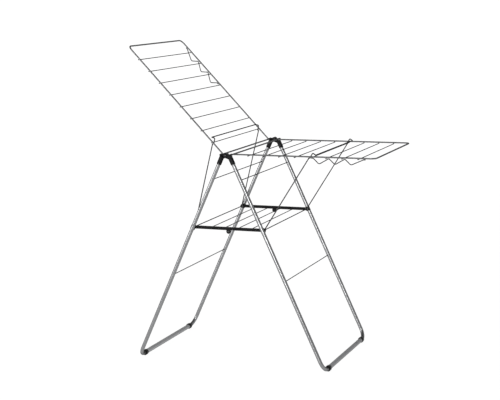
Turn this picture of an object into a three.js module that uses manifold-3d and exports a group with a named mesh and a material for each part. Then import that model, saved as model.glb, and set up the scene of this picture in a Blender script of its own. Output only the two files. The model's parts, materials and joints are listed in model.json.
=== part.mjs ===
// Folding two-wing clothes drying rack: two tube leg frames hinged at the top, two wire
// wings, two wire stays that prop the wings, and a tray that folds upwards between the legs.
// Millimetres, +Z up, +X to the right, -Y to the front. The left wing is propped up and the
// right wing is flat. Everything right of centre is the left half turned by half a turn.
import * as THREE from "three";
import { mergeVertices } from "three/addons/utils/BufferGeometryUtils.js";
import Module from "manifold-3d";

const wasm = await Module();
wasm.setup();

// Driving dimensions
const GAP = 0.3; // clearance between pieces that touch
const CUT = 1; // how far a cutting solid runs past the surface it opens
const LEG_SLOPE = 0.456; // sideways lean of a leg for each unit of height
const LEG_GAUGE = 560; // front tube to back tube, centre to centre
const TOP_PIVOT_Z = 845;
const PIVOT_OFFSET = 12.6; // leg line to top pivot
const FLOOR_BAR_Z = 11; // height of the floor bar's centre line
const TUBE_R = 7.5;
const TUBE_WALL = 1.1;
const TUBE_BEND_R = 40;
const TUBE_TOP = 18; // top end of a leg tube, down the leg
const TUBE_TIP = 228.5; // inner end of the bent foot of a leg tube, from the middle
const FLOOR_BAR_R = 9;
const FLOOR_BAR_HALF = 227.2;
const FOOT_R = 11.8;
const FOOT_INNER_END = 218;
const FOOT_OUTER_END = 238;
const FOOT_CHAMFER = 1.5;
const FOOT_TAPER = 3;
const CAP_R = 9.6;
const CAP_LENGTH = 37.1;
const CAP_TOP = 8; // distance down the leg from the level of the top pivot
const CAP_CHAMFER = 0.8;
const CAP_CROWN = 4; // height of the sloped crown on top of a cap
const CAP_CROWN_R = 6;
const EAR_R = 9.8;
const EAR_THICK = 9.1;
const EAR_ROOT = 5; // middle of the ear's lower end, below the top of the cap
const EAR_BEVEL = 0.6;
const BOSS_R = 4.6;
const BOSS_INSET = 2; // back of the boss, inside the surface of the cap
const RIVET_R = 2.5;
const RIVET_HEAD_R = 4.6;
const RIVET_HEAD = 1.3;
const WING_PIVOT_DOWN = 7.1; // wing pivot, down the leg
const WING_PIVOT_OUT = 6.5; // wing pivot, outwards from the leg line
const WING_GAUGE = 520;
const WING_LENGTH = 574;
const WING_PITCH = 63.3;
const WING_WIRES = 8;
const FRAME_R = 3;
const CROSS_R = 1.7;
const CROSS_OVERHANG = 3.2;
const WING_CORNER_R = 21;
const WING_BAR_DEPTH = 6; // depth of the hole in a cap that the wing's pivot bar turns in
const BRACE_R = 1.8;
const BRACE_HEIGHTS = { upper: 748, lower: 357 };
const TRAY_Z = 553;
const TRAY_LANE = [261.5, 269.5]; // inner and outer face of a tray bar, from the middle
const TRAY_BAR_HEIGHT = 12.4;
const TRAY_END_R = 8.2;
const TRAY_KNUCKLE_R = 9;
const TRAY_KNUCKLE_DROP = 11.3; // tray bar to the pin of its knuckle
const TRAY_LAP = 9.5; // half length of the lap joint over the knuckle
const TRAY_ROOT = 2; // overlap of a tongue with its own bar
const TRAY_BEVEL = 1;
const TRAY_WIRE_PLACES = { inner: 28, outer: 84 };
const TRAY_WIRE_DROP = 3;
const ROD_R = 2;
const SADDLE_THICK = 2.3;
const SADDLE_LENGTH = 18;
const SADDLE_HALF_TURN = THREE.MathUtils.degToRad(75);
const PIN_HEAD_R = 4.2;
const PIN_HEAD = 1.2;
const STAY_R = 2.3;
const STAY_LANE = 258.5;
const STAY_HOOK_LANE = 246;
const STAY_HOOK_RISE = 22;
const STAY_HOOK_REACH = 14;
const STAY_BEND_R = 4;
const STAY_EYE_R = 4.7;
const FLAT_NOTCH = 5; // cross wire that the stay leans on when the wing is flat
const RAISED_NOTCH = 1; // and when the wing is propped up
const NOTCH_BACK = 5.1; // stay shoulder to cross wire, along the wing
const HANGER_R = 2;
const HANGER_START = 322;
const HANGER_END = 536;
const HANGER_TEETH = 3;
const HANGER_CREST = 6;
const HANGER_DEPTH = 25;
const HANGER_STEEP = 20; // run of a tooth's sloping side
const HANGER_FLOOR = 6; // run along the bottom of a tooth
const HANGER_RIDGE = 4; // run along the crest between two teeth
const HANGER_TAIL = 8; // run that is welded to the wing at each end
const HANGER_BEND_R = 2.2;
const TUBE_SIDES = 16;
const WIRE_SIDES = 8;
const THIN_SIDES = 8;
const ROUND_SIDES = 24;

// Derived geometry of the left half, in the upright plane through X and Z
const LEAN = Math.atan(LEG_SLOPE);
const LEG_FOOT = new THREE.Vector2(
  -PIVOT_OFFSET * Math.cos(LEAN),
  TOP_PIVOT_Z + PIVOT_OFFSET * Math.sin(LEAN),
);
const downLeg = (z) => (LEG_FOOT.y - z) / Math.cos(LEAN);
const legX = (z) => LEG_FOOT.x - downLeg(z) * Math.sin(LEAN);
const legPoint = (inwards, down) => new THREE.Vector2(
  LEG_FOOT.x + inwards * Math.cos(LEAN) - down * Math.sin(LEAN),
  LEG_FOOT.y - inwards * Math.sin(LEAN) - down * Math.cos(LEAN),
);
const WING_PIVOT = legPoint(-WING_PIVOT_OUT, WING_PIVOT_DOWN);
const TRAY_PIVOT = new THREE.Vector2(legX(TRAY_Z), TRAY_Z);
const SHOULDER_DROP = FRAME_R + STAY_R + GAP;
const CROSS_DROP = FRAME_R + CROSS_R + GAP;

function wingPoint(along, above, tilt) {
  return new THREE.Vector2(
    WING_PIVOT.x - along * Math.cos(tilt) + above * Math.sin(tilt),
    WING_PIVOT.y + along * Math.sin(tilt) + above * Math.cos(tilt),
  );
}

const shoulderAlong = (notch) => notch * WING_PITCH - NOTCH_BACK;
const FLAT_SHOULDER = wingPoint(shoulderAlong(FLAT_NOTCH), -SHOULDER_DROP, 0);
const STAY_LENGTH = TRAY_PIVOT.distanceTo(FLAT_SHOULDER);

// Tilt at which a shoulder in the raised notch is one stay length from the tray pivot
function raisedTilt() {
  const along = shoulderAlong(RAISED_NOTCH);
  const radius = Math.hypot(along, SHOULDER_DROP);
  const reach = WING_PIVOT.distanceTo(TRAY_PIVOT);
  const cosine = (reach ** 2 + radius ** 2 - STAY_LENGTH ** 2) / (2 * reach * radius);
  const below = Math.atan2(WING_PIVOT.y - TRAY_PIVOT.y, WING_PIVOT.x - TRAY_PIVOT.x);
  return Math.acos(cosine) - below + Math.atan2(SHOULDER_DROP, along);
}

const RAISED_TILT = raisedTilt();
const REACH_RIGHT = -WING_PIVOT.x + WING_LENGTH + FRAME_R;
const REACH_LEFT = -WING_PIVOT.x + WING_LENGTH * Math.cos(RAISED_TILT) + FRAME_R;
const CENTRE_SHIFT = (REACH_LEFT - REACH_RIGHT) / 2;

// Materials
const finish = (color, roughness, metalness) => () =>
  new THREE.MeshStandardMaterial({ color, roughness, metalness });
const tubeMetal = finish(0xb4b5b7, 0.34, 0.85);
const wireMetal = finish(0xa2a3a6, 0.4, 0.8);
const rivetMetal = finish(0x2b2c2e, 0.4, 0.9);
const blackPlastic = finish(0x17181a, 0.5, 0);

// A path of straight runs joined by round bends, sampled only where it turns
class BentPath extends THREE.Curve {
  constructor(corners, bendRadius, bendSteps = 6) {
    super();
    this.places = [corners[0]];
    this.headings = [corners[1].clone().sub(corners[0]).normalize()];
    for (let i = 1; i < corners.length - 1; i += 1) {
      this.addBend(corners[i - 1], corners[i], corners[i + 1], bendRadius, bendSteps);
    }
    this.places.push(corners[corners.length - 1]);
    this.headings.push(this.headings[this.headings.length - 1].clone());
  }

  addBend(before, corner, after, radius, steps) {
    const arriving = corner.clone().sub(before).normalize();
    const leaving = after.clone().sub(corner).normalize();
    const turn = arriving.angleTo(leaving);
    const setback = radius * Math.tan(turn / 2);
    const start = corner.clone().addScaledVector(arriving, -setback);
    const side = leaving.clone().addScaledVector(arriving, -Math.cos(turn)).normalize();
    for (let i = 0; i <= steps; i += 1) {
      const angle = (turn * i) / steps;
      const place = start.clone().addScaledVector(arriving, radius * Math.sin(angle));
      this.places.push(place.addScaledVector(side, radius * (1 - Math.cos(angle))));
      const heading = arriving.clone().multiplyScalar(Math.cos(angle));
      this.headings.push(heading.addScaledVector(side, Math.sin(angle)));
    }
  }

  get spans() {
    return this.places.length - 1;
  }

  getPointAt(u, target = new THREE.Vector3()) {
    return target.copy(this.places[Math.round(u * this.spans)]);
  }

  getTangentAt(u, target = new THREE.Vector3()) {
    return target.copy(this.headings[Math.round(u * this.spans)]);
  }
}

const v3 = (x, y, z) => new THREE.Vector3(x, y, z);

function circlePoints(radius, sides) {
  const points = [];
  for (let i = 0; i < sides; i += 1) {
    const angle = (2 * Math.PI * (i + 0.5)) / sides;
    points.push(new THREE.Vector2(radius * Math.cos(angle), radius * Math.sin(angle)));
  }
  return points;
}

function sweep(corners, { radius, wall = 0, bend = 1, sides = WIRE_SIDES, bendSteps = 6 }) {
  const section = new THREE.Shape(circlePoints(radius, sides));
  if (wall > 0) {
    section.holes.push(new THREE.Path(circlePoints(radius - wall, sides)));
  }
  const extrudePath = new BentPath(corners, bend, bendSteps);
  const options = { steps: extrudePath.spans, bevelEnabled: false, extrudePath };
  return new THREE.ExtrudeGeometry(section, options);
}

const straightWire = (halfLength, radius, sides = THIN_SIDES) =>
  sweep([v3(0, -halfLength, 0), v3(0, halfLength, 0)], { radius, sides });

// Round solid along Y from pairs of radius and place
function turned(profile, sides = ROUND_SIDES) {
  const points = profile.map(([radius, place]) => new THREE.Vector2(radius, place));
  return new THREE.LatheGeometry(points, sides);
}

const disc = (radius, from, to, sides = ROUND_SIDES) =>
  turned([[0, from], [radius, from], [radius, to], [0, to]], sides);

function toManifold(geometry) {
  const bare = geometry.clone();
  bare.deleteAttribute("normal");
  bare.deleteAttribute("uv");
  const welded = mergeVertices(bare, 1e-4);
  const vertProperties = new Float32Array(welded.attributes.position.array);
  const triVerts = new Uint32Array(welded.index.array);
  return new wasm.Manifold(new wasm.Mesh({ numProp: 3, vertProperties, triVerts }));
}

function fromManifold(solid) {
  const mesh = solid.getMesh();
  const geometry = new THREE.BufferGeometry();
  geometry.setAttribute("position", new THREE.BufferAttribute(mesh.vertProperties, 3));
  geometry.setIndex(new THREE.BufferAttribute(mesh.triVerts, 1));
  geometry.computeVertexNormals();
  return geometry;
}

function combine(joined, removed = []) {
  const whole = joined.map(toManifold).reduce((sum, next) => sum.add(next));
  return fromManifold(removed.map(toManifold).reduce((rest, cut) => rest.subtract(cut), whole));
}

// Flat outline in X and Z, given thickness along Y between two places
function plate(outline, from, to, bevel = 0) {
  const settings = {
    depth: to - from - 2 * bevel,
    bevelEnabled: bevel > 0,
    bevelThickness: bevel,
    bevelSize: bevel,
    bevelOffset: -bevel,
    bevelSegments: 1,
    curveSegments: 9,
  };
  const geometry = new THREE.ExtrudeGeometry(outline, settings);
  return geometry.rotateX(Math.PI / 2).translate(0, to - bevel, 0);
}

// Outline round two circles, as a belt would run
function beltOutline(centreA, radiusA, centreB, radiusB) {
  const span = centreB.clone().sub(centreA);
  const base = span.angle();
  const spread = Math.acos((radiusA - radiusB) / span.length());
  const outline = new THREE.Shape();
  outline.absarc(centreA.x, centreA.y, radiusA, base + spread, base - spread + 2 * Math.PI);
  outline.absarc(centreB.x, centreB.y, radiusB, base - spread, base + spread);
  outline.closePath();
  return outline;
}

function addMesh(parent, name, geometry, material, place = [0, 0, 0]) {
  const mesh = new THREE.Mesh(geometry, material());
  mesh.name = name;
  mesh.position.set(...place);
  parent.add(mesh);
}

// Leg pieces, in the leg's own frame: -Z runs down the leg and +X points inwards
function legTube(end) {
  const y = (end * LEG_GAUGE) / 2;
  const floor = -downLeg(FLOOR_BAR_Z);
  const corners = [v3(0, y, -TUBE_TOP), v3(0, y, floor), v3(0, end * TUBE_TIP, floor)];
  const section = { radius: TUBE_R, wall: TUBE_WALL, bend: TUBE_BEND_R, sides: TUBE_SIDES };
  return sweep(corners, { ...section, bendSteps: 8 });
}

function cap(end, earOutside) {
  const y = (end * LEG_GAUGE) / 2;
  const bottom = -(CAP_TOP + CAP_LENGTH);
  const sleeve = turned([
    [0, bottom],
    [CAP_R - CAP_CHAMFER, bottom],
    [CAP_R, bottom + CAP_CHAMFER],
    [CAP_R, -CAP_TOP - CAP_CROWN],
    [CAP_CROWN_R, -CAP_TOP],
    [0, -CAP_TOP],
  ]).rotateX(Math.PI / 2).translate(0, y, 0);
  const bore = disc(TUBE_R + GAP, bottom - CUT, -(TUBE_TOP - GAP), TUBE_SIDES)
    .rotateX(Math.PI / 2).translate(0, y, 0);
  const inner = LEG_GAUGE / 2 - CAP_R;
  const outer = LEG_GAUGE / 2 + CAP_R;
  const lane = earOutside
    ? [LEG_GAUGE / 2 + GAP, LEG_GAUGE / 2 + GAP + EAR_THICK]
    : [LEG_GAUGE / 2 - GAP - EAR_THICK, LEG_GAUGE / 2 - GAP];
  const across = (from, to) => (end > 0 ? [from, to] : [-to, -from]);
  const earBelt = beltOutline(
    new THREE.Vector2(PIVOT_OFFSET, 0),
    EAR_R,
    new THREE.Vector2(0, -CAP_TOP - EAR_ROOT),
    EAR_R - EAR_BEVEL,
  );
  const ear = plate(earBelt, ...across(...lane), EAR_BEVEL);
  const bossPlace = [-WING_PIVOT_OUT, 0, -WING_PIVOT_DOWN];
  const boss = disc(BOSS_R, ...across(inner, outer - BOSS_INSET))
    .translate(...bossPlace);
  const wingHole = disc(FRAME_R + GAP, ...across(inner - CUT, inner + WING_BAR_DEPTH), TUBE_SIDES)
    .translate(...bossPlace);
  const rivetHole = disc(RIVET_R + GAP, ...across(inner - CUT, outer + CUT), TUBE_SIDES)
    .translate(PIVOT_OFFSET, 0, 0);
  return combine([sleeve, ear, boss], [bore, wingHole, rivetHole]);
}

// Saddle on the inner side of a leg tube, drilled for the tray pivot rod
function traySaddle(end) {
  const bore = TUBE_R + GAP;
  const outside = bore + SADDLE_THICK;
  const middle = (-end * Math.PI) / 2;
  const from = middle - SADDLE_HALF_TURN;
  const to = middle + SADDLE_HALF_TURN;
  const outline = new THREE.Shape();
  outline.absarc(0, 0, outside, from, to, false);
  outline.absarc(0, 0, bore, to, from, true);
  outline.closePath();
  const settings = { depth: SADDLE_LENGTH, bevelEnabled: false, curveSegments: 10 };
  const body = new THREE.ExtrudeGeometry(outline, settings)
    .translate(0, 0, -SADDLE_LENGTH / 2);
  const hole = disc(ROD_R + GAP, -outside - CUT, outside + CUT, TUBE_SIDES);
  return combine([body], [hole]);
}

function footCollar(end) {
  const shell = turned([
    [0, FOOT_INNER_END],
    [FOOT_R - FOOT_CHAMFER, FOOT_INNER_END],
    [FOOT_R, FOOT_INNER_END + FOOT_CHAMFER],
    [FOOT_R, FOOT_OUTER_END - FOOT_TAPER],
    [FOOT_R - FOOT_TAPER + GAP, FOOT_OUTER_END],
    [0, FOOT_OUTER_END],
  ]);
  if (end < 0) {
    shell.rotateZ(Math.PI);
  }
  const inner = FOOT_INNER_END - CUT;
  const outer = FOOT_OUTER_END + CUT;
  const along = (from, to) => (end > 0 ? [from, to] : [-to, -from]);
  const tubeBore = disc(TUBE_R + GAP, ...along(inner, outer), TUBE_SIDES);
  const barEnd = FLOOR_BAR_HALF + 2 * GAP;
  const barBore = disc(FLOOR_BAR_R + GAP, ...along(inner, barEnd), TUBE_SIDES);
  const sole = new THREE.BoxGeometry(3 * FOOT_R, outer - inner, FOOT_R)
    .translate(0, (end * (inner + outer)) / 2, -FLOOR_BAR_Z - FOOT_R / 2);
  return combine([shell], [tubeBore, barBore, sole]);
}

// Rivet through both hinge ears, with a head at each end
function topRivet() {
  const inner = LEG_GAUGE / 2 - EAR_THICK - 2 * GAP;
  const outer = LEG_GAUGE / 2 + EAR_THICK + 2 * GAP;
  return turned([
    [0, inner - RIVET_HEAD],
    [RIVET_HEAD_R - RIVET_HEAD, inner - RIVET_HEAD],
    [RIVET_HEAD_R, inner - GAP],
    [RIVET_HEAD_R, inner],
    [RIVET_R, inner],
    [RIVET_R, outer],
    [RIVET_HEAD_R, outer],
    [RIVET_HEAD_R, outer + GAP],
    [RIVET_HEAD_R - RIVET_HEAD, outer + RIVET_HEAD],
    [0, outer + RIVET_HEAD],
  ], TUBE_SIDES);
}

function addLeg(half, side, nameOfEnd) {
  const leg = new THREE.Group();
  leg.position.set(LEG_FOOT.x, 0, LEG_FOOT.y);
  leg.rotation.y = LEAN;
  half.add(leg);
  const trayDown = -downLeg(TRAY_Z);
  for (const end of [-1, 1]) {
    const tag = `${side}_${nameOfEnd(end)}`;
    addMesh(leg, `${tag}_leg_tube`, legTube(end), tubeMetal);
    addMesh(leg, `${tag}_hinge_cap`, cap(end, end > 0), blackPlastic);
    const saddlePlace = [0, (end * LEG_GAUGE) / 2, trayDown];
    addMesh(leg, `${tag}_tray_saddle`, traySaddle(end), blackPlastic, saddlePlace);
    const footPlace = [legX(FLOOR_BAR_Z), 0, FLOOR_BAR_Z];
    addMesh(half, `${tag}_foot`, footCollar(end), blackPlastic, footPlace);
  }
  const braceHalf = LEG_GAUGE / 2 - TUBE_R - GAP;
  for (const [level, height] of Object.entries(BRACE_HEIGHTS)) {
    const brace = straightWire(braceHalf, BRACE_R);
    addMesh(leg, `${side}_${level}_brace`, brace, wireMetal, [0, 0, -downLeg(height)]);
  }
  const bar = sweep([v3(0, -FLOOR_BAR_HALF, 0), v3(0, FLOOR_BAR_HALF, 0)], {
    radius: FLOOR_BAR_R,
    wall: TUBE_WALL,
    sides: TUBE_SIDES,
  });
  addMesh(half, `${side}_floor_bar`, bar, tubeMetal, [legX(FLOOR_BAR_Z), 0, FLOOR_BAR_Z]);
  // The right rod stops short of the tray bars, where the folding linkage is left open
  const rodHalf = side === "left" ? LEG_GAUGE / 2 - TUBE_R - 2 * GAP : TRAY_LANE[0] - GAP;
  const rod = straightWire(rodHalf, ROD_R, WIRE_SIDES);
  addMesh(half, `${side}_pivot_rod`, rod, wireMetal, [TRAY_PIVOT.x, 0, TRAY_PIVOT.y]);
}

// Wing pieces, in the wing's own frame: the pivot lies on Y and the wing runs along -X
function wingFrame() {
  const y = WING_GAUGE / 2;
  const start = -(FRAME_R + GAP);
  const corners = [
    v3(start, -y, 0),
    v3(-WING_LENGTH, -y, 0),
    v3(-WING_LENGTH, y, 0),
    v3(start, y, 0),
  ];
  return sweep(corners, { radius: FRAME_R, bend: WING_CORNER_R, bendSteps: 8 });
}

function hangerWire() {
  const top = FRAME_R + HANGER_R + GAP;
  const outline = [[HANGER_START, top], [HANGER_START + HANGER_TAIL, top]];
  for (let tooth = 0; tooth < HANGER_TEETH; tooth += 1) {
    const along = HANGER_START + HANGER_TAIL + tooth * WING_PITCH;
    if (tooth > 0) {
      outline.push([along - HANGER_RIDGE, HANGER_CREST], [along, HANGER_CREST]);
    }
    const foot = along + HANGER_STEEP;
    outline.push([foot, HANGER_DEPTH], [foot + HANGER_FLOOR, HANGER_DEPTH]);
  }
  outline.push([HANGER_END - HANGER_TAIL, top], [HANGER_END, top]);
  const corners = outline.map(([along, below]) => v3(-along, 0, -below));
  const section = { radius: HANGER_R, bend: HANGER_BEND_R, sides: THIN_SIDES };
  return sweep(corners, { ...section, bendSteps: 2 });
}

function addWing(half, side, tilt) {
  const wing = new THREE.Group();
  wing.position.set(WING_PIVOT.x, 0, WING_PIVOT.y);
  wing.rotation.y = tilt;
  half.add(wing);
  addMesh(wing, `${side}_wing_frame`, wingFrame(), wireMetal);
  const barHalf = LEG_GAUGE / 2 - CAP_R + WING_BAR_DEPTH - GAP;
  addMesh(wing, `${side}_wing_pivot_bar`, straightWire(barHalf, FRAME_R, WIRE_SIDES), wireMetal);
  for (let i = 1; i <= WING_WIRES; i += 1) {
    const wire = straightWire(WING_GAUGE / 2 + CROSS_OVERHANG, CROSS_R);
    addMesh(wing, `${side}_wing_wire_${i}`, wire, wireMetal, [-i * WING_PITCH, 0, -CROSS_DROP]);
  }
  addMesh(wing, `${side}_hanger_wire`, hangerWire(), wireMetal, [0, WING_GAUGE / 2, 0]);
}

// Stay: two arms up from eyes on the pivot rod, stepped in under the wing and hooked over
function stayWire(shoulder) {
  const up = shoulder.clone().sub(TRAY_PIVOT).normalize();
  const out = new THREE.Vector2(-up.y, up.x);
  const peak = shoulder.clone().addScaledVector(up, STAY_HOOK_RISE);
  const tip = peak.clone().addScaledVector(out, STAY_HOOK_REACH);
  const start = TRAY_PIVOT.clone().addScaledVector(up, STAY_EYE_R);
  const arm = [
    [start, STAY_LANE],
    [shoulder, STAY_LANE],
    [shoulder, STAY_HOOK_LANE],
    [peak, STAY_HOOK_LANE],
    [tip, STAY_HOOK_LANE],
  ];
  const front = arm.map(([place, y]) => v3(place.x, -y, place.y));
  const back = arm.map(([place, y]) => v3(place.x, y, place.y)).reverse();
  const wire = sweep([...front, ...back], { radius: STAY_R, bend: STAY_BEND_R, bendSteps: 3 });
  const eyes = [-STAY_LANE, STAY_LANE].map((y) =>
    new THREE.TorusGeometry(STAY_EYE_R, STAY_R, WIRE_SIDES, 16)
      .rotateX(Math.PI / 2)
      .translate(TRAY_PIVOT.x, y, TRAY_PIVOT.y));
  return combine([wire, ...eyes]);
}

// Half of a tray bar: an eye at the leg, and a half-thickness tongue with a knuckle
function trayBar(end, tongueOutside) {
  const [inner, outer] = TRAY_LANE;
  const middle = (inner + outer) / 2;
  const high = TRAY_BAR_HEIGHT / 2;
  const across = (from, to) => (end > 0 ? [from, to] : [-to, -from]);
  const tongueLane = tongueOutside ? [middle + GAP / 2, outer] : [inner, middle - GAP / 2];
  const bar = new THREE.Shape();
  bar.moveTo(TRAY_PIVOT.x, -high);
  bar.lineTo(-TRAY_LAP, -high);
  bar.lineTo(-TRAY_LAP, high);
  bar.lineTo(TRAY_PIVOT.x, high);
  bar.closePath();
  const eye = new THREE.Shape();
  eye.absarc(TRAY_PIVOT.x, 0, TRAY_END_R, 0, 2 * Math.PI);
  const tongue = new THREE.Shape();
  tongue.moveTo(-TRAY_LAP - TRAY_ROOT, -high);
  tongue.lineTo(TRAY_LAP - GAP, -high);
  tongue.lineTo(TRAY_LAP - GAP, high);
  tongue.lineTo(-TRAY_LAP - TRAY_ROOT, high);
  tongue.closePath();
  const knuckle = beltOutline(
    new THREE.Vector2(0, -TRAY_KNUCKLE_DROP),
    TRAY_KNUCKLE_R,
    new THREE.Vector2(0, 0),
    high,
  );
  const solids = [
    plate(bar, ...across(inner, outer), TRAY_BEVEL),
    plate(eye, ...across(inner, outer), TRAY_BEVEL),
    plate(tongue, ...across(...tongueLane)),
    plate(knuckle, ...across(...tongueLane)),
  ];
  const holeSpan = across(inner - CUT, outer + CUT);
  const rodHole = disc(ROD_R + GAP, ...holeSpan, TUBE_SIDES)
    .translate(TRAY_PIVOT.x, 0, 0);
  const pinHole = disc(ROD_R + GAP, ...holeSpan, TUBE_SIDES)
    .translate(0, 0, -TRAY_KNUCKLE_DROP);
  return combine(solids, [rodHole, pinHole]);
}

function trayPin() {
  const tip = TRAY_LANE[0] - GAP;
  const shoulder = TRAY_LANE[1] + GAP;
  return turned([
    [0, tip],
    [ROD_R, tip],
    [ROD_R, shoulder],
    [PIN_HEAD_R, shoulder],
    [PIN_HEAD_R, shoulder + GAP],
    [PIN_HEAD_R - PIN_HEAD, shoulder + PIN_HEAD],
    [0, shoulder + PIN_HEAD],
  ], TUBE_SIDES);
}

function addTrayHalf(half, side, nameOfEnd) {
  for (const end of [-1, 1]) {
    const bar = trayBar(end, end < 0);
    addMesh(half, `${side}_${nameOfEnd(end)}_tray_bar`, bar, blackPlastic, [0, 0, TRAY_Z]);
  }
  const wireHalf = TRAY_LANE[0] - GAP;
  for (const [place, x] of Object.entries(TRAY_WIRE_PLACES)) {
    const wire = straightWire(wireHalf, CROSS_R);
    const at = [-x, 0, TRAY_Z - TRAY_WIRE_DROP];
    addMesh(half, `${side}_tray_${place}_wire`, wire, wireMetal, at);
  }
}

const group = new THREE.Group();
const rack = new THREE.Group();
rack.position.x = CENTRE_SHIFT;
group.add(rack);

const halves = [
  { side: "left", turn: 0, tilt: RAISED_TILT, notch: RAISED_NOTCH },
  { side: "right", turn: Math.PI, tilt: 0, notch: FLAT_NOTCH },
];
for (const { side, turn, tilt, notch } of halves) {
  const half = new THREE.Group();
  half.rotation.z = turn;
  rack.add(half);
  const nameOfEnd = (end) => (end * Math.cos(turn) < 0 ? "front" : "back");
  addLeg(half, side, nameOfEnd);
  addWing(half, side, tilt);
  const shoulder = wingPoint(shoulderAlong(notch), -SHOULDER_DROP, tilt);
  addMesh(half, `${side}_stay_wire`, stayWire(shoulder), wireMetal);
  addTrayHalf(half, side, nameOfEnd);
}

for (const [name, turn] of [["back", 0], ["front", Math.PI]]) {
  const rivet = topRivet().rotateZ(turn);
  addMesh(rack, `${name}_top_rivet`, rivet, rivetMetal, [0, 0, TOP_PIVOT_Z]);
  const pin = trayPin().rotateZ(turn);
  addMesh(rack, `${name}_tray_pin`, pin, rivetMetal, [0, 0, TRAY_Z - TRAY_KNUCKLE_DROP]);
}

export default group;
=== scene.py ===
import json
import math
import random

import bmesh
import bpy
from mathutils import Matrix, Vector, noise


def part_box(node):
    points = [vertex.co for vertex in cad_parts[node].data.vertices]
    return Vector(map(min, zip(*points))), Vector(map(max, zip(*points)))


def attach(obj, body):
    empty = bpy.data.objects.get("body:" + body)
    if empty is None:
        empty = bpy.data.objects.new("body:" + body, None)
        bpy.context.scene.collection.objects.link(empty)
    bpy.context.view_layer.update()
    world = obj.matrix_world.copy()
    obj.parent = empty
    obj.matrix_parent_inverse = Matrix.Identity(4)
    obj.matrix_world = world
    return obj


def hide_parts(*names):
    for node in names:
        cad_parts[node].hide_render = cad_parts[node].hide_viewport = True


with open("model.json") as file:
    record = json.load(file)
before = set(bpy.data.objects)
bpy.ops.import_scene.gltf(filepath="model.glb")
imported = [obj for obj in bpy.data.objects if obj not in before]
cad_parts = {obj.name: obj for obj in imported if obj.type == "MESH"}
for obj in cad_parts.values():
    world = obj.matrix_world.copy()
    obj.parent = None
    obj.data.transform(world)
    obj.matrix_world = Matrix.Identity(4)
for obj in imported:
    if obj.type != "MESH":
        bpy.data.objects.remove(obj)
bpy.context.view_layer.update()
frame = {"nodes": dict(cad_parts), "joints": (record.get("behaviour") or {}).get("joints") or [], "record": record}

random.seed(12)

# Sizes in metres that the frame's joints and boxes don't give
GAP = 0.0003
LEG_GAUGE = 0.560
TUBE_R = 0.0075
TUBE_BEND_R = 0.040
TUBE_TOP = 0.018
TUBE_END_PAST_BAR = 0.0013
FLOOR_BAR_R = 0.009
FLOOR_BAR_HALF = 0.2272
FLOOR_BAR_Z = 0.011
FOOT_MIDDLE = 0.228
FOOT_R = 0.0118
FOOT_GROOVE_AWAY = 0.0035
FOOT_GROOVE_OUT = 0.0003
FOOT_GROOVE_R = 0.0007
CAP_R = 0.0096
CAP_TOP = 0.008
CAP_LENGTH = 0.0371
CAP_GROOVE_UP = 0.004
CAP_GROOVE_OUT = 0.0002
CAP_GROOVE_R = 0.0005
PIVOT_OFFSET = 0.0126
WING_GAUGE = 0.520
WING_LENGTH = 0.574
WING_PITCH = 0.0633
WING_WIRES = 8
WING_CORNER_R = 0.021
FRAME_R = 0.003
CROSS_R = 0.0017
CROSS_OVERHANG = 0.0032
CROSS_DROP = FRAME_R + CROSS_R + GAP
BRACE_R = 0.0018
WIRE_SWAY = 0.00007
WIRE_SWAY_RATE = 4
TRAY_INNER = 0.2615
TRAY_OUTER = 0.2695
TRAY_LAP = 0.0095
TRAY_BAR_HEIGHT = 0.0124
PANEL_MARGIN = 0.015
PANEL_INNER_MARGIN = 0.004
PANEL_DEPTH = 0.0014
PANEL_RIM = 0.0028
PANEL_CORNER = 0.002
ROD_R = 0.002
STAY_R = 0.0023
STAY_LANE = 0.2585
STAY_HOOK_LANE = 0.246
STAY_HOOK_RISE = 0.022
STAY_HOOK_REACH = 0.014
STAY_BEND_R = 0.004
STAY_EYE_R = 0.0047
STAY_EYE_GAP = 0.0002
STAY_SHORT_OF_WIRE = 0.0053
HANGER_R = 0.002
HANGER_START = 0.322
HANGER_END = 0.536
HANGER_CREST = 0.006
HANGER_DEPTH = 0.025
HANGER_TEETH = 3
HANGER_SLOPE = 0.020
HANGER_FLAT = 0.006
HANGER_CREST_FLAT = 0.004
HANGER_END_FLAT = 0.008
HANGER_BEND_R = 0.0024
RIVET_R = 0.0025
RIVET_HEAD_R = 0.0045
RIVET_HEAD = 0.0013
PIN_R = 0.002
PIN_HEAD_R = 0.0042
PIN_HEAD = 0.0012

# Half sizes of the weld beads along X, Y and Z, and how far a bead sinks into its wire
BRACE_WELD = (0.0026, 0.0009, 0.003)
CROSS_WELD = (0.0022, 0.0024, 0.0011)
CORNER_WELD = (0.0016, 0.0031, 0.0031)
HANGER_WELD = (0.003, 0.0022, 0.001)
HANGER_WELD_IN = 0.003
WELD_SINK = 0.0002

# Voxel sizes for softening the mouldings
FINE_VOXEL = 0.00035
MIDDLE_VOXEL = 0.00045
COARSE_VOXEL = 0.0005

# Stage and lights, in metres and watts
STAGE_HUB_R = 0.5
STAGE_FLAT_R = 5.6
STAGE_SWEEP_R = 3.0
STAGE_HEIGHT = 7.0
# The floor's painted glow: where it is even, where it has faded, and its emission strengths
POOL_EVEN_R = 2.7
POOL_END_R = 5.2
POOL_BRIGHT = 0.9
POOL_DIM = 0.45
WORLD_STRENGTH = 0.12
LIGHT_AIM_Z = 0.6
KEY_PLACE, KEY_SIZE, KEY_POWER = (0.8, -5.2, 1.0), (1.3, 1.8), 120
FILL_PLACE, FILL_SIZE, FILL_POWER = (-3.4, -3.9, 0.9), (1.4, 1.8), 80

# The view: angles in degrees, distances in metres, the lens and sensor in millimetres
VIEW_AZIMUTH = math.radians(20.90)
VIEW_ELEVATION = math.radians(9.05)
VIEW_ROLL = math.radians(-0.90)
VIEW_DISTANCE = 5.651
VIEW_TARGET = (-0.0999, 0.0006, 0.6252)
VIEW_LENS = 99.3
VIEW_SENSOR = 36.0

# The legs lean by this much in X for each metre of height
LEG_SLOPE = 0.456
LEAN = math.atan(LEG_SLOPE)

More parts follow.
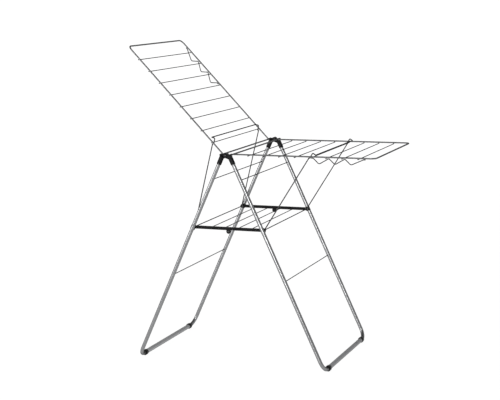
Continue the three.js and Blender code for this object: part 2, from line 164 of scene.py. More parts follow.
# Places that the frame's joints give
joints = {joint["name"]: joint for joint in frame["joints"]}
TOP_PIVOT = Vector(joints["legs_fold"]["pos_m"])
RAISED_TILT = math.radians(-joints["left_wing_tilt"]["range_deg"][0])
WING_PIVOT = Vector(joints["left_wing_tilt"]["pos_m"]) - Vector((TOP_PIVOT.x, 0, 0))
TRAY_PIVOT = Vector(joints["left_stay_swing"]["pos_m"]) - Vector((TOP_PIVOT.x, 0, 0))
LEG_TOP = Vector((-PIVOT_OFFSET * math.cos(LEAN), 0, TOP_PIVOT.z + PIVOT_OFFSET * math.sin(LEAN)))


def down_leg(z):
    return (LEG_TOP.z - z) / math.cos(LEAN)


FOOT_X = LEG_TOP.x - down_leg(FLOOR_BAR_Z) * math.sin(LEAN)

SIDES = {"left": Matrix.Translation((TOP_PIVOT.x, 0, 0))}
SIDES["right"] = SIDES["left"] @ Matrix.Rotation(math.pi, 4, "Z")
TILTS = {"left": RAISED_TILT, "right": 0.0}
NOTCHES = {"left": 1, "right": 5}


def end_name(side, end):
    front = end < 0 if side == "left" else end > 0
    return "front" if front else "back"


def leg_matrix(side):
    return SIDES[side] @ Matrix.Translation(LEG_TOP) @ Matrix.Rotation(LEAN, 4, "Y")


def wing_matrix(side):
    return SIDES[side] @ Matrix.Translation(WING_PIVOT) @ Matrix.Rotation(TILTS[side], 4, "Y")


# Materials

def new_material(name):
    material = bpy.data.materials.new(name)
    material.use_nodes = True
    nodes = material.node_tree.nodes
    shader = nodes["Principled BSDF"]
    place = nodes.new("ShaderNodeTexCoord")
    return material, material.node_tree, shader, place.outputs["Object"]


def noise_node(tree, place, scale, detail=4.0, stretch=(1, 1, 1)):
    mapping = tree.nodes.new("ShaderNodeMapping")
    mapping.inputs["Scale"].default_value = stretch
    tree.links.new(place, mapping.inputs["Vector"])
    texture = tree.nodes.new("ShaderNodeTexNoise")
    texture.inputs["Scale"].default_value = scale
    texture.inputs["Detail"].default_value = detail
    tree.links.new(mapping.outputs["Vector"], texture.inputs["Vector"])
    return texture.outputs["Fac"]


def colour_ramp(tree, source, stops):
    ramp = tree.nodes.new("ShaderNodeValToRGB")
    elements = ramp.color_ramp.elements
    while len(elements) < len(stops):
        elements.new(0.5)
    for element, (position, colour) in zip(elements, stops):
        element.position = position
        element.color = (*colour, 1)
    tree.links.new(source, ramp.inputs["Fac"])
    return ramp.outputs["Color"]


def mapped(tree, source, low, high):
    """A noise value's middle span, 0.3 to 0.7, stretched to the given values."""
    node = tree.nodes.new("ShaderNodeMapRange")
    node.inputs["From Min"].default_value = 0.3
    node.inputs["From Max"].default_value = 0.7
    node.inputs["To Min"].default_value = low
    node.inputs["To Max"].default_value = high
    tree.links.new(source, node.inputs["Value"])
    return node.outputs["Result"]


def multiply(tree, colour_a, colour_b, amount):
    mix = tree.nodes.new("ShaderNodeMix")
    mix.data_type = "RGBA"
    mix.blend_type = "MULTIPLY"
    mix.inputs["Factor"].default_value = amount
    tree.links.new(colour_a, mix.inputs["A"])
    tree.links.new(colour_b, mix.inputs["B"])
    return mix.outputs["Result"]


def bump(tree, shader, heights, strength, distance):
    node = tree.nodes.new("ShaderNodeBump")
    node.inputs["Strength"].default_value = strength
    node.inputs["Distance"].default_value = distance
    tree.links.new(heights, node.inputs["Height"])
    tree.links.new(node.outputs["Normal"], shader.inputs["Normal"])


def silver_coat(name, tone, roughness, flake_scale):
    """Satin silver coat on steel: fine flakes, a soft cloudiness and a few duller patches."""
    material, tree, shader, place = new_material(name)
    cool_tint, dark_share, light_share = (0.985, 0.995, 1.01), 0.88, 1.06
    cool = tuple(tone * c for c in cool_tint)
    dark = tuple(dark_share * c for c in cool)
    light = tuple(min(1.0, light_share * c) for c in cool)
    flakes = noise_node(tree, place, flake_scale, 2.0)
    clouds = noise_node(tree, place, 22.0, 3.0)
    speckle = colour_ramp(tree, flakes, [(0.3, dark), (0.5, cool), (0.72, light)])
    cloud = colour_ramp(tree, clouds, [(0.35, (0.93, 0.93, 0.94)), (0.6, (1.0, 1.0, 1.0))])
    tree.links.new(multiply(tree, speckle, cloud, 0.8), shader.inputs["Base Color"])
    dull = noise_node(tree, place, 60.0, 5.0)
    tree.links.new(mapped(tree, dull, roughness - 0.02, roughness + 0.04), shader.inputs["Roughness"])
    shader.inputs["Metallic"].default_value = 0.85
    shader.inputs["Specular Tint"].default_value = (0.2, 0.2, 0.2, 1)
    bump(tree, shader, flakes, 0.05, 0.00001)
    return material


def blackened_steel(name):
    """Blackened steel with fine turning marks and rubbed patches."""
    material, tree, shader, place = new_material(name)
    marks = noise_node(tree, place, 1400.0, 3.0, (1, 0.15, 1))
    tarnish = noise_node(tree, place, 240.0, 4.0)
    tone = colour_ramp(tree, marks, [(0.3, (0.025, 0.025, 0.026)), (0.7, (0.055, 0.055, 0.057))])
    stain = colour_ramp(tree, tarnish, [(0.4, (0.78, 0.76, 0.73)), (0.6, (1, 1, 1))])
    tree.links.new(multiply(tree, tone, stain, 0.7), shader.inputs["Base Color"])
    tree.links.new(mapped(tree, tarnish, 0.26, 0.42), shader.inputs["Roughness"])
    shader.inputs["Metallic"].default_value = 1.0
    bump(tree, shader, marks, 0.2, 0.00006)
    return material


def moulded_black(name):
    """Black moulded plastic: fine spark-eroded grain, slightly polished where it is handled."""
    material, tree, shader, place = new_material(name)
    grain = noise_node(tree, place, 2200.0, 2.0)
    flow = noise_node(tree, place, 90.0, 4.0)
    tone = colour_ramp(tree, flow, [(0.35, (0.004, 0.004, 0.0045)), (0.65, (0.009, 0.009, 0.0095))])
    dust = colour_ramp(tree, grain, [(0.3, (0.8, 0.8, 0.8)), (0.75, (1.0, 1.0, 1.0))])
    tree.links.new(multiply(tree, tone, dust, 0.6), shader.inputs["Base Color"])
    tree.links.new(mapped(tree, flow, 0.3, 0.46), shader.inputs["Roughness"])
    shader.inputs["Specular IOR Level"].default_value = 0.1
    bump(tree, shader, grain, 0.25, 0.00012)
    return material


def weld_metal(name):
    """Coated resistance weld: lumpy and a little darker than the wire."""
    material, tree, shader, place = new_material(name)
    lumps = noise_node(tree, place, 900.0, 4.0)
    tone = colour_ramp(tree, lumps, [(0.3, (0.12, 0.12, 0.125)), (0.7, (0.24, 0.24, 0.245))])
    tree.links.new(tone, shader.inputs["Base Color"])
    tree.links.new(mapped(tree, lumps, 0.35, 0.55), shader.inputs["Roughness"])
    shader.inputs["Metallic"].default_value = 0.85
    bump(tree, shader, lumps, 0.4, 0.0002)
    return material


MATERIALS = {
    "tube_metal": silver_coat("silver_tube", 0.25, 0.22, 2600.0),
    # Painted light: the floor bars get the tubes' silver made much lighter, in place of light from above and in
    # front that the lamps do not give them
    "bar_metal": silver_coat("silver_floor_bar_painted_lighter", 0.44, 0.36, 2600.0),
    # Painted shade: the frame wire is a little darker and the thinner wires are much darker than the tubes'
    # silver, so they read dark against the white backdrop; the real wire is bright silver
    "frame_wire": silver_coat("silver_frame_wire_painted_darker", 0.2, 0.3, 3200.0),
    "wire_metal": silver_coat("silver_wire_painted_darker", 0.075, 0.38, 3200.0),
    "rivet_metal": blackened_steel("rivet_steel"),
    "black_plastic": moulded_black("moulded_black"),
    "weld": weld_metal("coated_weld"),
}


# Mesh building

def mesh_object(name, vertices, faces):
    mesh = bpy.data.meshes.new(name)
    mesh.from_pydata([tuple(v) for v in vertices], [], faces)
    mesh.update()
    piece = bpy.data.objects.new(name, mesh)
    bpy.context.scene.collection.objects.link(piece)
    return piece


def face_outwards(piece):
    work = bmesh.new()
    work.from_mesh(piece.data)
    bmesh.ops.recalc_face_normals(work, faces=work.faces)
    work.to_mesh(piece.data)
    work.free()


def shade(piece, angle=40):
    for polygon in piece.data.polygons:
        polygon.use_smooth = True
    piece.data.set_sharp_from_angle(angle=math.radians(angle))


def finished(piece, body, material, nodes=(), matrix=None):
    """Puts a piece in place, gives it its material, ties it to its body and hides the CAD nodes it stands in for.
    """
    if matrix is not None:
        piece.data.transform(matrix)
    piece.data.materials.clear()
    piece.data.materials.append(MATERIALS[material])
    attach(piece, body)
    if nodes:
        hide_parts(*nodes)
    return piece


def bent_path(corners, bend, steps):
    """Points and headings along straight runs joined by round bends."""
    corners = [Vector(c) for c in corners]
    places = [corners[0]]
    headings = [(corners[1] - corners[0]).normalized()]
    for before, corner, after in zip(corners, corners[1:], corners[2:]):
        arriving = (corner - before).normalized()
        leaving = (after - corner).normalized()
        turn = arriving.angle(leaving)
        start = corner - arriving * bend * math.tan(turn / 2)
        side = (leaving - arriving * math.cos(turn)).normalized()
        for i in range(steps + 1):
            angle = turn * i / steps
            places.append(start + arriving * bend * math.sin(angle) + side * bend * (1 - math.cos(angle)))
            headings.append(arriving * math.cos(angle) + side * math.sin(angle))
    places.append(corners[-1])
    headings.append((corners[-1] - corners[-2]).normalized())
    return places, headings


def ring(place, heading, across, radius, sides):
    other = heading.cross(across)
    turn = 2 * math.pi / sides
    return [
        place + (across * math.cos(turn * i) + other * math.sin(turn * i)) * radius
        for i in range(sides)
    ]


def wire_mesh(name, places, headings, radius, sides, chamfer=0.25):
    """A round wire along a path, with softly chamfered ends."""
    across = headings[0].orthogonal().normalized()
    cut = radius * chamfer
    rows = [(places[0], headings[0], radius - cut), (places[0] + headings[0] * cut, headings[0], radius)]
    rows += [(p, h, radius) for p, h in zip(places[1:-1], headings[1:-1])]
    rows += [
        (places[-1] - headings[-1] * cut, headings[-1], radius),
        (places[-1], headings[-1], radius - cut),
    ]
    vertices = []
    for place, heading, size in rows:
        across = (across - heading * across.dot(heading)).normalized()
        vertices += ring(place, heading, across, size, sides)
    faces = [tuple(range(sides))[::-1]]
    for row in range(len(rows) - 1):
        for i in range(sides):
            a, b = row * sides + i, row * sides + (i + 1) % sides
            faces.append((a, b, b + sides, a + sides))
    last = (len(rows) - 1) * sides
    faces.append(tuple(range(last, last + sides)))
    piece = mesh_object(name, vertices, faces)
    face_outwards(piece)
    shade(piece)
    return piece


def bent_wire(name, corners, radius, bend=0.001, steps=10, sides=20):
    return wire_mesh(name, *bent_path(corners, bend, steps), radius, sides)


def straight_wire(name, half, radius, place=(0, 0, 0), sides=16, spans=12):
    """A wire along Y, with rings along it so that it can carry the slight waviness of drawn wire."""
    x, y, z = place
    count = spans + 1
    seed = Vector((x * 9 + z * 5, half, z))
    places = []
    for i in range(count):
        along = -half + 2 * half * i / spans
        sway = 0 if i in (0, spans) else WIRE_SWAY
        here = seed + Vector((0, along * WIRE_SWAY_RATE, 0))
        offsets = [noise.noise(here + Vector((0, 0, layer))) * sway for layer in (0, 7)]
        places.append(Vector((x + offsets[0], y + along, z + offsets[1])))
    headings = [Vector((0, 1, 0))] * count
    return wire_mesh(name, places, headings, radius, sides)


def lathe(name, profile, sides=40):
    """A turned solid along Y from pairs of radius and place; both ends close on the axis."""
    vertices, faces = [], []
    inner = profile[1:-1]
    vertices.append(Vector((0, profile[0][1], 0)))
    for radius, place in inner:
        for i in range(sides):
            angle = 2 * math.pi * i / sides
            vertices.append(Vector((radius * math.cos(angle), place, radius * math.sin(angle))))
    vertices.append(Vector((0, profile[-1][1], 0)))
    for i in range(sides):
        faces.append((0, 1 + i, 1 + (i + 1) % sides))
        end = 1 + (len(inner) - 1) * sides
        faces.append((len(vertices) - 1, end + (i + 1) % sides, end + i))
    for row in range(len(inner) - 1):
        for i in range(sides):
            a, b = 1 + row * sides + i, 1 + row * sides + (i + 1) % sides
            faces.append((a, a + sides, b + sides, b))
    piece = mesh_object(name, vertices, faces)
    face_outwards(piece)
    shade(piece)
    return piece


def apply_modifiers(piece):
    bpy.context.view_layer.update()
    graph = bpy.context.evaluated_depsgraph_get()
    mesh = bpy.data.meshes.new_from_object(piece.evaluated_get(graph))
    piece.modifiers.clear()
    piece.data = mesh


def torus(name, centre, axis, major, minor, sides=48, section=10):
    heading = Vector(axis).normalized()
    across = heading.orthogonal().normalized()
    other = heading.cross(across)
    vertices, faces = [], []
    for i in range(sides):
        angle = 2 * math.pi * i / sides
        out = across * math.cos(angle) + other * math.sin(angle)
        for j in range(section):
            turn = 2 * math.pi * j / section
            vertices.append(
                Vector(centre) + out * (major + minor * math.cos(turn)) + heading * minor * math.sin(turn)
            )
    for i in range(sides):
        for j in range(section):
            a, b = i * section + j, i * section + (j + 1) % section
            c, d = ((i + 1) % sides) * section + (j + 1) % section, ((i + 1) % sides) * section + j
            faces.append((a, b, c, d))
    piece = mesh_object(name, vertices, faces)
    face_outwards(piece)
    return piece


def block(name, low, high, corner=0.0):
    """A box with its edges along Y rounded, used to press recesses into mouldings."""
    (x0, y0, z0), (x1, y1, z1) = low, high
    outline = []
    middles = [(x1 - corner, z1 - corner, 0), (x0 + corner, z1 - corner, 90)]
    middles += [(x0 + corner, z0 + corner, 180), (x1 - corner, z0 + corner, 270)]
    for cx, cz, start in middles:
        for i in range(5):
            angle = math.radians(start + 22.5 * i)
            outline.append((cx + corner * math.cos(angle), cz + corner * math.sin(angle)))
    count = len(outline)
    vertices = [Vector((x, y0, z)) for x, z in outline] + [Vector((x, y1, z)) for x, z in outline]
    faces = [tuple(range(count)), tuple(range(2 * count - 1, count - 1, -1))]
    for i in range(count):
        j = (i + 1) % count
        faces.append((i, i + count, j + count, j))
    piece = mesh_object(name, vertices, faces)
    face_outwards(piece)
    return piece


def moulding(name, node, voxel, cuts=(), rounding=5, keep=0.35):
    """A plastic moulding: the node's shape, with recesses pressed in and every edge softened."""
    piece = bpy.data.objects.new(name, frame["nodes"][node].data.copy())
    bpy.context.scene.collection.objects.link(piece)
    weld = piece.modifiers.new("weld", "WELD")
    weld.merge_threshold = 0.00001
    for cut in cuts:
        press = piece.modifiers.new("press", "BOOLEAN")
        press.operation = "DIFFERENCE"
        press.object = cut
        press.solver = "EXACT"
    remesh = piece.modifiers.new("remesh", "REMESH")
    remesh.mode = "VOXEL"
    remesh.voxel_size = voxel
    soften = piece.modifiers.new("soften", "SMOOTH")
    soften.factor = 0.5
    soften.iterations = rounding
    thin = piece.modifiers.new("thin", "DECIMATE")
    thin.ratio = keep
    apply_modifiers(piece)
    for cut in cuts:
        bpy.data.objects.remove(cut)
    shade(piece, 60)
    return piece


def joined(name, pieces):
    """One object from several meshes."""
    work = bmesh.new()
    for piece in pieces:
        work.from_mesh(piece.data)
        bpy.data.objects.remove(piece)
    mesh = bpy.data.meshes.new(name)
    work.to_mesh(mesh)
    work.free()
    whole = bpy.data.objects.new(name, mesh)
    bpy.context.scene.collection.objects.link(whole)
    return whole


def bead(place, size):
    """A lumpy weld bead: a ball pushed in and out by noise and flattened to its size."""
    work = bmesh.new()
    bmesh.ops.create_icosphere(work, subdivisions=3, radius=1.0)
    seed = Vector((random.uniform(0, 50), random.uniform(0, 50), random.uniform(0, 50)))
    for vertex in work.verts:
        swell = 1 + 0.22 * noise.noise(vertex.co * 1.6 + seed)
        vertex.co = Vector([c * s * swell for c, s in zip(vertex.co, size)]) + Vector(place)
    mesh = bpy.data.meshes.new("bead")
    work.to_mesh(mesh)
    work.free()
    piece = bpy.data.objects.new("bead", mesh)
    bpy.context.scene.collection.objects.link(piece)
    return piece


def beads(name, places, size, body, matrix):
    piece = joined(name, [bead(place, size) for place in places])
    shade(piece, 80)
    return finished(piece, body, "weld", (), matrix)


# Leg frames

def leg_tube(side, end):
    y = end * LEG_GAUGE / 2
    floor = -down_leg(FLOOR_BAR_Z)
    tube_end = FLOOR_BAR_HALF + TUBE_END_PAST_BAR
    name = f"{side}_{end_name(side, end)}_leg_tube"
    corners = [(0, y, -TUBE_TOP), (0, y, floor), (0, end * tube_end, floor)]
    tube = bent_wire(f"{name}_drawn", corners, TUBE_R, TUBE_BEND_R, 24, 40)
    finished(tube, f"{side}_leg", "tube_metal", [name], leg_matrix(side))


def hinge_cap(side, end):
    """Cap moulding with a groove pressed round its sleeve near the mouth."""
    name = f"{side}_{end_name(side, end)}_hinge_cap"
    place = leg_matrix(side)
    y = end * LEG_GAUGE / 2
    centre = (0, y, -(CAP_TOP + CAP_LENGTH - CAP_GROOVE_UP))
    groove = torus("groove", centre, (0, 0, 1), CAP_R + CAP_GROOVE_OUT, CAP_GROOVE_R)
    groove.data.transform(place)
    cap = moulding(f"{name}_moulded", name, MIDDLE_VOXEL, [groove], 4)
    finished(cap, f"{side}_leg", "black_plastic", [name])


def foot(side, end):
    """Foot collar with two grip grooves round it."""
    name = f"{side}_{end_name(side, end)}_foot"
    place = SIDES[side] @ Matrix.Translation((FOOT_X, 0, FLOOR_BAR_Z))
    cuts = []
    for offset in (-FOOT_GROOVE_AWAY, FOOT_GROOVE_AWAY):
        centre = (0, end * (FOOT_MIDDLE + offset), 0)
        groove = torus("groove", centre, (0, 1, 0), FOOT_R + FOOT_GROOVE_OUT, FOOT_GROOVE_R)
        groove.data.transform(place)
        cuts.append(groove)
    collar = moulding(f"{name}_moulded", name, MIDDLE_VOXEL, cuts, 3, 0.3)
    finished(collar, f"{side}_leg", "black_plastic", [name])


def saddle(side, end):
    """Saddle moulding on a leg tube, which carries the pivot rod."""
    name = f"{side}_{end_name(side, end)}_tray_saddle"
    piece = moulding(f"{name}_moulded", name, FINE_VOXEL, (), 3, 0.3)
    finished(piece, f"{side}_leg", "black_plastic", [name])


def leg_frame(side):
    """Tubes, caps, collars and saddles of one leg frame, with its braces, floor bar and pivot rod."""
    body = f"{side}_leg"
    for end in (-1, 1):
        leg_tube(side, end)
        hinge_cap(side, end)
        foot(side, end)
        saddle(side, end)
    half = LEG_GAUGE / 2 - TUBE_R - GAP
    weld_places = []
    for level in ("upper", "lower"):
        node = f"{side}_{level}_brace"
        low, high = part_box(node)
        down = -down_leg((low.z + high.z) / 2)
        wire = straight_wire(f"{node}_drawn", half, BRACE_R, (0, 0, down))
        finished(wire, body, "wire_metal", [node], leg_matrix(side))
        weld_places += [(0, end * (half - WELD_SINK), down) for end in (-1, 1)]
    beads(f"{side}_brace_welds", weld_places, BRACE_WELD, body, leg_matrix(side))
    bar = bent_wire(
        f"{side}_floor_bar_drawn",
        [(0, -FLOOR_BAR_HALF, 0), (0, FLOOR_BAR_HALF, 0)],
        FLOOR_BAR_R,
        sides=40,
    )
    # The floor bar's lighter silver is painted light
    place = SIDES[side] @ Matrix.Translation((FOOT_X, 0, FLOOR_BAR_Z))
    finished(bar, body, "bar_metal", [f"{side}_floor_bar"], place)
    node = f"{side}_pivot_rod"
    low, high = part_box(node)
    rod = straight_wire(f"{node}_drawn", (high.y - low.y) / 2, ROD_R, (0, 0, 0), 20)
    finished(rod, body, "wire_metal", [node], SIDES[side] @ Matrix.Translation(TRAY_PIVOT))


# Wings

def wing_frame_corners():
    """Corners of the U-shaped frame in the wing's own axes, out along -X from its hinge."""
    y = WING_GAUGE / 2
    start = -(FRAME_R + GAP)
    return [(start, -y, 0), (-WING_LENGTH, -y, 0), (-WING_LENGTH, y, 0), (start, y, 0)]


def hanger_corners():
    """Corners of the zigzag, from its end nearer the hinge."""
    top = -(FRAME_R + HANGER_R + GAP)
    along = HANGER_START + HANGER_END_FLAT
    corners = [(-HANGER_START, 0, top), (-along, 0, top)]
    for tooth in range(HANGER_TEETH):
        valley = along + HANGER_SLOPE
        corners += [(-valley, 0, -HANGER_DEPTH), (-(valley + HANGER_FLAT), 0, -HANGER_DEPTH)]
        along += WING_PITCH
        if tooth < HANGER_TEETH - 1:
            corners += [(-(along - HANGER_CREST_FLAT), 0, -HANGER_CREST), (-along, 0, -HANGER_CREST)]
    corners += [(-(HANGER_END - HANGER_END_FLAT), 0, top), (-HANGER_END, 0, top)]
    return corners


def wing(side):
    """Frame, pivot bar, cross wires and hanger wire of one wing, with their welds."""
    body = f"{side}_wing"
    place = wing_matrix(side)
    name = f"{side}_wing_frame"
    outline = bent_wire(f"{name}_drawn", wing_frame_corners(), FRAME_R, WING_CORNER_R, 20, 24)
    finished(outline, body, "frame_wire", [name], place)
    low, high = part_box(f"{side}_wing_pivot_bar")
    bar = straight_wire(f"{side}_wing_pivot_bar_drawn", (high.y - low.y) / 2, FRAME_R, sides=24)
    finished(bar, body, "frame_wire", [f"{side}_wing_pivot_bar"], place)
    weld_places = []
    for i in range(1, WING_WIRES + 1):
        node = f"{side}_wing_wire_{i}"
        x = -i * WING_PITCH
        half = WING_GAUGE / 2 + CROSS_OVERHANG
        wire = straight_wire(f"{node}_drawn", half, CROSS_R, (x, 0, -CROSS_DROP))
        finished(wire, body, "wire_metal", [node], place)
        weld_places += [(x, end * WING_GAUGE / 2, -FRAME_R - WELD_SINK) for end in (-1, 1)]
    beads(f"{side}_wing_welds", weld_places, CROSS_WELD, body, place)
    corner_places = [(-FRAME_R, end * WING_GAUGE / 2, 0) for end in (-1, 1)]
    beads(f"{side}_wing_corner_welds", corner_places, CORNER_WELD, body, place)
    hanger_place = place @ Matrix.Translation((0, WING_GAUGE / 2, 0))
    name = f"{side}_hanger_wire"
    hanger = bent_wire(f"{name}_drawn", hanger_corners(), HANGER_R, HANGER_BEND_R, 6, 16)
    finished(hanger, body, "wire_metal", [name], hanger_place)
    tacks = (HANGER_START + HANGER_WELD_IN, HANGER_END - HANGER_WELD_IN)
    tack_places = [(-along, 0, -FRAME_R) for along in tacks]
    beads(f"{side}_hanger_welds", tack_places, HANGER_WELD, body, hanger_place)


# Stays

def stay(side):
    """A bent wire with an eye coiled round the pivot rod at each end."""
    tilt = TILTS[side]
    along = NOTCHES[side] * WING_PITCH - STAY_SHORT_OF_WIRE
    drop = FRAME_R + STAY_R + GAP
    shoulder = WING_PIVOT + Vector((
        -along * math.cos(tilt) - drop * math.sin(tilt),
        0,
        along * math.sin(tilt) - drop * math.cos(tilt),
    ))
    up = (shoulder - TRAY_PIVOT).normalized()
    out = Vector((-up.z, 0, up.x))
    peak = shoulder + up * STAY_HOOK_RISE
    tip = peak + out * STAY_HOOK_REACH
    start = TRAY_PIVOT + up * (STAY_EYE_R + STAY_EYE_GAP)
    lane = Vector((0, STAY_LANE, 0))
    hook_lane = Vector((0, STAY_HOOK_LANE, 0))
    arm = [(start, lane), (shoulder, lane), (shoulder, hook_lane), (peak, hook_lane), (tip, hook_lane)]
    front = [place - offset for place, offset in arm]
    back = [place + offset for place, offset in arm]
    body = f"{side}_stay"
    wire = bent_wire(f"{side}_stay_arms", front + back[::-1], STAY_R, STAY_BEND_R, 10, 18)
    eyes = [
        torus("eye", TRAY_PIVOT + lane * end, (0, 1, 0), STAY_EYE_R, STAY_R, 48, 18) for end in (-1, 1)
    ]
    whole = joined(f"{side}_stay_bent", [wire, *eyes])
    shade(whole, 50)
    finished(whole, body, "wire_metal", [f"{side}_stay_wire"], SIDES[side])


# Tray

def tray_bar(side, end):
    """Tray bar moulding with a long panel recessed into each face."""
    name = f"{side}_{end_name(side, end)}_tray_bar"
    cuts = []
    half_height = TRAY_BAR_HEIGHT / 2
    bottom = TRAY_PIVOT.z - half_height + PANEL_RIM
    top = TRAY_PIVOT.z + half_height - PANEL_RIM
    for y in (TRAY_INNER, TRAY_OUTER):
        corner_low = (TRAY_PIVOT.x + PANEL_MARGIN, end * y - PANEL_DEPTH, bottom)
        corner_high = (-TRAY_LAP - PANEL_INNER_MARGIN, end * y + PANEL_DEPTH, top)
        panel = block("panel", corner_low, corner_high, PANEL_CORNER)
        panel.data.transform(SIDES[side])
        cuts.append(panel)
    bar = moulding(f"{name}_moulded", name, COARSE_VOXEL, cuts, 4, 0.3)
    finished(bar, f"tray_{side}", "black_plastic", [name])


def tray_half(side):
    """The two bars and two wires of one half of the tray."""
    body = f"tray_{side}"
    for end in (-1, 1):
        tray_bar(side, end)
    for place in ("inner", "outer"):
        node = f"{side}_tray_{place}_wire"
        low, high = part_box(node)
        centre = (low + high) / 2
        wire = straight_wire(f"{node}_drawn", (high.y - low.y) / 2, CROSS_R, tuple(centre))
        finished(wire, body, "wire_metal", [node])


def rivets():
    """Domed rivets through the top hinges and the tray's knuckles."""
    for name, turn in (("front", math.pi), ("back", 0)):
        about = Matrix.Rotation(turn, 4, "Z")
        low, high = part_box(f"{name}_top_rivet")
        inner, outer = sorted((abs(low.y), abs(high.y)))
        rivet = lathe(f"{name}_top_rivet_domed", [
            (0, inner), (0.0030, inner), (0.0042, inner + 0.0005), (RIVET_HEAD_R, inner + RIVET_HEAD),
            (RIVET_R, inner + RIVET_HEAD), (RIVET_R, outer - RIVET_HEAD),
            (RIVET_HEAD_R, outer - RIVET_HEAD), (0.0044, outer - 0.0009), (0.0036, outer - 0.0003),
            (0.0022, outer - 0.0001), (0.0018, outer - 0.0003), (0, outer - 0.0004),
        ])
        place = Matrix.Translation(TOP_PIVOT) @ about
        finished(rivet, "left_leg", "rivet_metal", [f"{name}_top_rivet"], place)
        low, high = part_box(f"{name}_tray_pin")
        inner, outer = sorted((abs(low.y), abs(high.y)))
        pin = lathe(f"{name}_tray_pin_domed", [
            (0, inner), (0.0017, inner), (PIN_R, inner + 0.0003), (PIN_R, outer - PIN_HEAD),
            (PIN_HEAD_R, outer - PIN_HEAD), (0.0041, outer - 0.0007), (0.003, outer - 0.0002), (0, outer),
        ])
        centre = Vector(joints["tray_right_fold"]["pos_m"])
        place = Matrix.Translation(centre) @ about
        finished(pin, "tray_left", "rivet_metal", [f"{name}_tray_pin"], place)


# Stage, light and camera

def light_pool(tree, place):
    """Painted light on the paper: an emission glow, even round the rack and behind it, falling off to the sides.
    """
    mapping = tree.nodes.new("ShaderNodeMapping")
    mapping.inputs["Rotation"].default_value = (0, 0, -VIEW_AZIMUTH)
    tree.links.new(place, mapping.inputs["Vector"])
    split = tree.nodes.new("ShaderNodeSeparateXYZ")
    tree.links.new(mapping.outputs["Vector"], split.inputs["Vector"])
    ahead = tree.nodes.new("ShaderNodeMath")
    ahead.operation = "MINIMUM"
    ahead.inputs[1].default_value = 0.0
    tree.links.new(split.outputs["Y"], ahead.inputs[0])
    flat = tree.nodes.new("ShaderNodeCombineXYZ")
    tree.links.new(split.outputs["X"], flat.inputs["X"])
    tree.links.new(ahead.outputs["Value"], flat.inputs["Y"])
    reach = tree.nodes.new("ShaderNodeVectorMath")
    reach.operation = "LENGTH"
    tree.links.new(flat.outputs["Vector"], reach.inputs[0])
    fade = tree.nodes.new("ShaderNodeMapRange")
    fade.interpolation_type = "SMOOTHSTEP"
    fade.inputs["From Min"].default_value = POOL_EVEN_R
    fade.inputs["From Max"].default_value = POOL_END_R
    fade.inputs["To Min"].default_value = POOL_BRIGHT
    fade.inputs["To Max"].default_value = POOL_DIM
    tree.links.new(reach.outputs["Value"], fade.inputs["Value"])
    return fade.outputs["Result"]


def stage():
    """A round floor that sweeps up into a wall all round the rack; it looks pale from a painted glow of emission.
    """
    sides, steps = 96, 12
    profile = [(STAGE_HUB_R, 0), (STAGE_FLAT_R, 0)]
    for i in range(1, steps + 1):
        angle = math.pi / 2 * i / steps
        radius = STAGE_FLAT_R + STAGE_SWEEP_R * math.sin(angle)
        profile.append((radius, STAGE_SWEEP_R - STAGE_SWEEP_R * math.cos(angle)))
    profile.append((STAGE_FLAT_R + STAGE_SWEEP_R, STAGE_HEIGHT))
    vertices = [Vector((0, 0, 0))]
    for radius, z in profile:
        for i in range(sides):
            angle = 2 * math.pi * i / sides
            vertices.append(Vector((radius * math.cos(angle), radius * math.sin(angle), z)))
    faces = [(0, 1 + i, 1 + (i + 1) % sides) for i in range(sides)]
    for row in range(len(profile) - 1):
        for i in range(sides):
            a, b = 1 + row * sides + i, 1 + row * sides + (i + 1) % sides
            faces.append((a, a + sides, b + sides, b))
    floor = mesh_object("studio_floor", vertices, faces)
    for polygon in floor.data.polygons:
        polygon.use_smooth = True
    material, tree, shader, place = new_material("paper_with_painted_glow")
    fibres = noise_node(tree, place, 40.0, 4.0)
    tone = colour_ramp(tree, fibres, [(0.3, (0.26, 0.26, 0.26)), (0.7, (0.28, 0.28, 0.28))])
    tree.links.new(tone, shader.inputs["Base Color"])
    # Painted light: the paper glows, most strongly in a pool round the rack and behind it
    shader.inputs["Emission Color"].default_value = (1, 1, 1, 1)
    tree.links.new(light_pool(tree, place), shader.inputs["Emission Strength"])
    shader.inputs["Roughness"].default_value = 0.9
    shader.inputs["Specular IOR Level"].default_value = 0.1
    floor.data.materials.append(material)


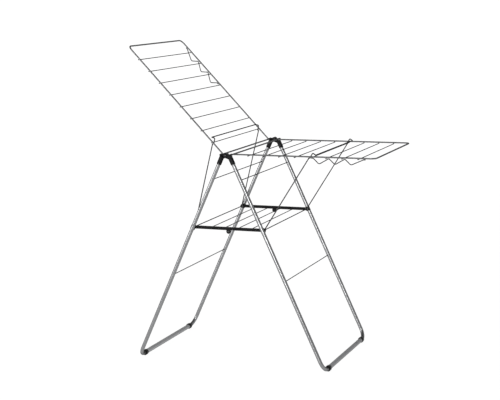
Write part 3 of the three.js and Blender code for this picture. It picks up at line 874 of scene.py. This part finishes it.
def area_light(name, place, aim, size, power):
    """A rectangular light turned towards its aim and hidden from the camera."""
    light = bpy.data.lights.new(name, "AREA")
    light.shape = "RECTANGLE"
    light.size, light.size_y = size
    light.energy = power
    lamp = bpy.data.objects.new(name, light)
    lamp.location = place
    lamp.visible_camera = False
    lamp.rotation_euler = (Vector(aim) - Vector(place)).to_track_quat("-Z", "Y").to_euler()
    bpy.context.scene.collection.objects.link(lamp)


def lighting():
    """A large soft key low in front, for a light line down the tubes, and a softer fill to its left."""
    world = bpy.data.worlds.new("studio")
    world.use_nodes = True
    background = world.node_tree.nodes["Background"]
    background.inputs["Color"].default_value = (1.0, 1.0, 1.0, 1)
    background.inputs["Strength"].default_value = WORLD_STRENGTH
    bpy.context.scene.world = world
    aim = (TOP_PIVOT.x, 0, LIGHT_AIM_Z)
    area_light("key", KEY_PLACE, aim, KEY_SIZE, KEY_POWER)
    area_light("fill", FILL_PLACE, aim, FILL_SIZE, FILL_POWER)


def camera():
    """A long lens to the front right, above the hinges, rolled very slightly."""
    azimuth, elevation, roll = VIEW_AZIMUTH, VIEW_ELEVATION, VIEW_ROLL
    data = bpy.data.cameras.new("photo_view")
    data.sensor_width = VIEW_SENSOR
    data.lens = VIEW_LENS
    eye = bpy.data.objects.new("photo_view", data)
    ahead = Vector((
        -math.sin(azimuth) * math.cos(elevation),
        math.cos(azimuth) * math.cos(elevation),
        -math.sin(elevation),
    ))
    right = ahead.cross(Vector((0, 0, 1))).normalized()
    upright = right.cross(ahead)
    turned_right = right * math.cos(roll) + upright * math.sin(roll)
    turned_up = upright * math.cos(roll) - right * math.sin(roll)
    frame_axes = Matrix((turned_right, turned_up, -ahead)).transposed().to_4x4()
    eye.matrix_world = Matrix.Translation(Vector(VIEW_TARGET) - ahead * VIEW_DISTANCE) @ frame_axes
    bpy.context.scene.collection.objects.link(eye)
    bpy.context.scene.camera = eye


def paint_cad_nodes():
    """Gives every CAD node the material of its slot."""
    slots = {entry["node"]: entry["material_slot"] for entry in frame["record"]["subparts"]}
    for name, node in frame["nodes"].items():
        for material_slot in node.material_slots:
            material_slot.material = MATERIALS[slots[name]]


camera()
lighting()
stage()
paint_cad_nodes()
for side_name in SIDES:
    leg_frame(side_name)
    wing(side_name)
    stay(side_name)
    tray_half(side_name)
rivets()

bpy.context.scene.view_settings.view_transform = "Standard"
